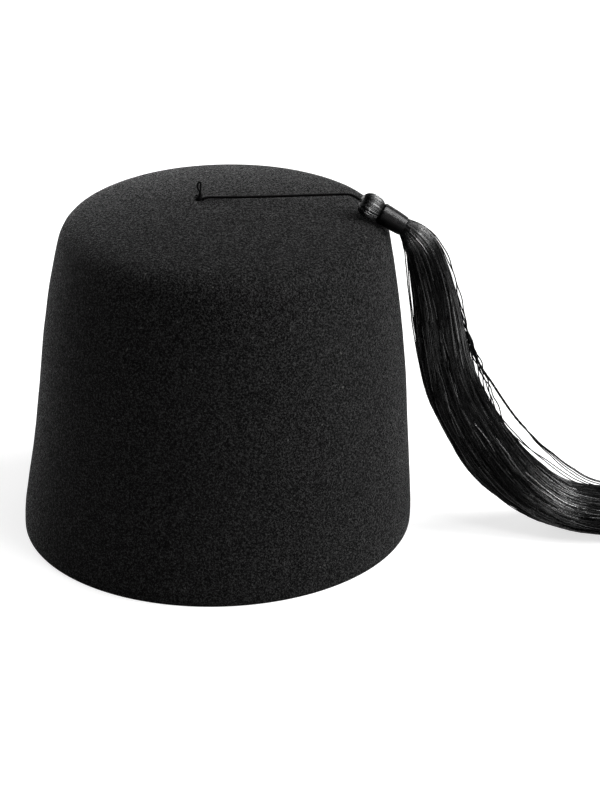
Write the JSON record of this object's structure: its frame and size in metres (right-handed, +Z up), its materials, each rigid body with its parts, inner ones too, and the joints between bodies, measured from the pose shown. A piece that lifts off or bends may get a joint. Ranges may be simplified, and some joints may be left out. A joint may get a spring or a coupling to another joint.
{
  "type": "fez hat with tassel",
  "caption": "Tapered, flat-topped felt hat, hollow and open below, with a tassel on a thin cord from a thread loop on top.",
  "frame": {"origin": "centre of the rim's cut edge, on the surface that the hat stands on", "axes": "+Z up from the rim to the top; +X towards the side where the tassel falls; -Y towards the camera side; the crown's own axis leans about 2.3 degrees from +Z to +X"},
  "size_m": [0.3229, 0.1902, 0.1764],
  "materials": {
    "felt": "matt black wool felt with a short fuzz",
    "stem_thread": "dull black twisted thread",
    "cord_thread": "black twisted cord with a slight sheen",
    "tassel_thread": "silky black thread with a soft gloss along the threads",
    "binding_thread": "silky black thread wound tight round the neck"
  },
  "bodies": {
    "root": {"crown": "felt", "stem_loop": "stem_thread", "tassel_cord": "cord_thread", "tassel_skein": "tassel_thread", "neck_binding": "binding_thread"}
  },
  "joints": []
}
